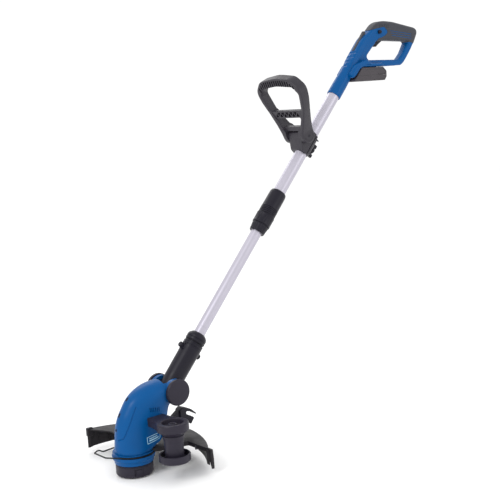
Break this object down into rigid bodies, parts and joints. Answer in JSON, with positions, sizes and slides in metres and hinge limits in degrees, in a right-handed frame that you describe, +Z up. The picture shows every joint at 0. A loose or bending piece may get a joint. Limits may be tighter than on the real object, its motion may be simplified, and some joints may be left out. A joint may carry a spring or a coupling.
{
  "type": "cordless lawn edger",
  "caption": "Cordless lawn edger: tilting spool head with edging wheel, guard and wire guard, telescopic shaft, D-shaped front handle and a rear handle with a slide-in battery.",
  "frame": {"origin": "centre of the spool cap's flat underside, which the tool rests on", "axes": "+Z up along the spool axis, +X towards the operator (the shaft leans that way), +Y to the side away from the edging wheel"},
  "size_m": [0.8894, 0.3021, 0.846],
  "materials": {
    "blue_plastic": "satin moulded",
    "dark_plastic": "fine-textured moulded",
    "black_plastic": "moulded",
    "soft_grip": "soft-touch overmould",
    "tube_aluminium": "satin anodised",
    "steel": "bright zinc plated",
    "motor_steel": "plated",
    "trimmer_line": "drawn nylon",
    "cell_wrap": "shrink sleeve",
    "black_wire": "powder coated"
  },
  "bodies": {
    "root": {"handle_shell_left": "blue_plastic", "handle_shell_right": "blue_plastic", "grip_cover": "soft_grip", "handle_screws": "steel", "main_switch": "black_plastic", "terminal_block": "black_plastic", "upper_tube": "tube_aluminium", "clamp_collar": "black_plastic", "clamp_sleeve": "black_plastic", "clamp_collet": "black_plastic", "aux_clamp_upper": "dark_plastic", "aux_clamp_lower": "dark_plastic", "aux_clamp_screws": "steel", "trigger_pin": "steel"},
    "lock_nut": {"clamp_nut": "black_plastic"},
    "lower_shaft": {"lower_tube": "tube_aluminium", "guide_plug": "black_plastic", "tube_collar": "black_plastic", "thrust_washer": "black_plastic", "retaining_ring": "steel"},
    "neck": {"neck_sleeve": "black_plastic"},
    "swivel_button_front": {"swivel_button_front": "black_plastic"},
    "swivel_button_rear": {"swivel_button_rear": "black_plastic"},
    "head": {"head_shell_left": "blue_plastic", "head_shell_right": "blue_plastic", "head_screws": "steel", "lower_housing": "blue_plastic", "motor_can": "motor_steel", "tilt_bolt": "steel", "pivot_cap_left": "dark_plastic", "pivot_cap_right": "dark_plastic", "pedal_bracket": "black_plastic", "pedal_pin": "steel", "guard": "dark_plastic", "guard_screws": "steel", "line_cutter": "steel", "wheel_bracket": "dark_plastic", "wheel_axle": "steel", "wheel_screw": "steel"},
    "spool_head": {"spool_housing": "dark_plastic", "spool_cap": "dark_plastic", "spool": "black_plastic", "line_winding": "trimmer_line", "spool_spring": "steel", "line_eyelets": "steel", "motor_shaft": "steel", "motor_rotor": "motor_steel"},
    "wheel": {"edge_wheel": "dark_plastic"},
    "wire_guard": {"flower_guard": "black_wire"},
    "pedal": {"tilt_pedal": "black_plastic"},
    "front_handle": {"aux_handle": "dark_plastic", "aux_bolt": "steel"},
    "handle_knob": {"aux_knob": "black_plastic"},
    "trigger": {"trigger": "black_plastic"},
    "lock_button": {"lock_off_button": "black_plastic"},
    "battery": {"battery_case_lower": "dark_plastic", "battery_case_upper": "dark_plastic", "battery_cells": "cell_wrap"},
    "battery_latch": {"battery_latch_button": "blue_plastic"}
  },
  "joints": [
    {"name": "telescope", "type": "slide", "parent": "root", "child": "lower_shaft", "axis": [-0.6613, 0, -0.7501], "range_m": [-0.15, 0.08]},
    {"name": "lock_nut_turn", "type": "hinge", "parent": "root", "child": "lock_nut", "pos_m": [0.35313, 0, 0.44564], "axis": [0.6613, 0, 0.7501], "range_deg": [0, 120]},
    {"name": "neck_swivel", "type": "hinge", "parent": "lower_shaft", "child": "neck", "pos_m": [0.12828, 0, 0.19061], "axis": [0.6613, 0, 0.7501], "range_deg": [-90, 90]},
    {"name": "swivel_button_front_press", "type": "slide", "parent": "neck", "child": "swivel_button_front", "axis": [0.7501, 0, -0.6613], "range_m": [0, 0.003], "stiffness_N_per_m": 1500, "springref_m": -0.002},
    {"name": "swivel_button_rear_press", "type": "slide", "parent": "neck", "child": "swivel_button_rear", "axis": [-0.7501, 0, 0.6613], "range_m": [0, 0.003], "stiffness_N_per_m": 1500, "springref_m": -0.002},
    {"name": "head_tilt", "type": "hinge", "parent": "neck", "child": "head", "pos_m": [0.0886, 0, 0.1456], "axis": [0, 1, 0], "range_deg": [-12, 30]},
    {"name": "spool_spin", "type": "hinge", "parent": "head", "child": "spool_head", "pos_m": [0, 0, 0.012], "axis": [0, 0, 1], "continuous": true},
    {"name": "wheel_spin", "type": "hinge", "parent": "head", "child": "wheel", "pos_m": [0.033, -0.093, 0.06], "axis": [0, 0, 1], "continuous": true},
    {"name": "wire_guard_turn", "type": "hinge", "parent": "head", "child": "wire_guard", "pos_m": [0, 0, 0.0422], "axis": [0, 0, 1], "range_deg": [-100, 60]},
    {"name": "pedal_press", "type": "hinge", "parent": "head", "child": "pedal", "pos_m": [0.086, 0, 0.082], "axis": [0, 1, 0], "range_deg": [0, 12], "stiffness_Nm_per_rad": 0.8, "springref_deg": -6.88},
    {"name": "front_handle_pitch", "type": "hinge", "parent": "root", "child": "front_handle", "pos_m": [0.46381, 0, 0.61202], "axis": [0, 1, 0], "range_deg": [-60, 30]},
    {"name": "handle_knob_turn", "type": "hinge", "parent": "root", "child": "handle_knob", "pos_m": [0.49792, 0, 0.57662], "axis": [0.7501, 0, -0.6613], "range_deg": [0, 360]},
    {"name": "trigger_pull", "type": "hinge", "parent": "root", "child": "trigger", "pos_m": [0.718, 0, 0.811], "axis": [0, 1, 0], "range_deg": [0, 10], "stiffness_Nm_per_rad": 0.5, "springref_deg": -6.88},
    {"name": "lock_off_press", "type": "slide", "parent": "root", "child": "lock_button", "axis": [0, 1, 0], "range_m": [0, 0.0025], "stiffness_N_per_m": 900, "springref_m": -0.002},
    {"name": "battery_slide", "type": "slide", "parent": "root", "child": "battery", "axis": [1, 0, 0], "range_m": [0, 0.09]},
    {"name": "battery_latch_press", "type": "slide", "parent": "battery", "child": "battery_latch", "axis": [-0.7071, 0, -0.7071], "range_m": [0, 0.0025], "stiffness_N_per_m": 900, "springref_m": -0.002}
  ]
}
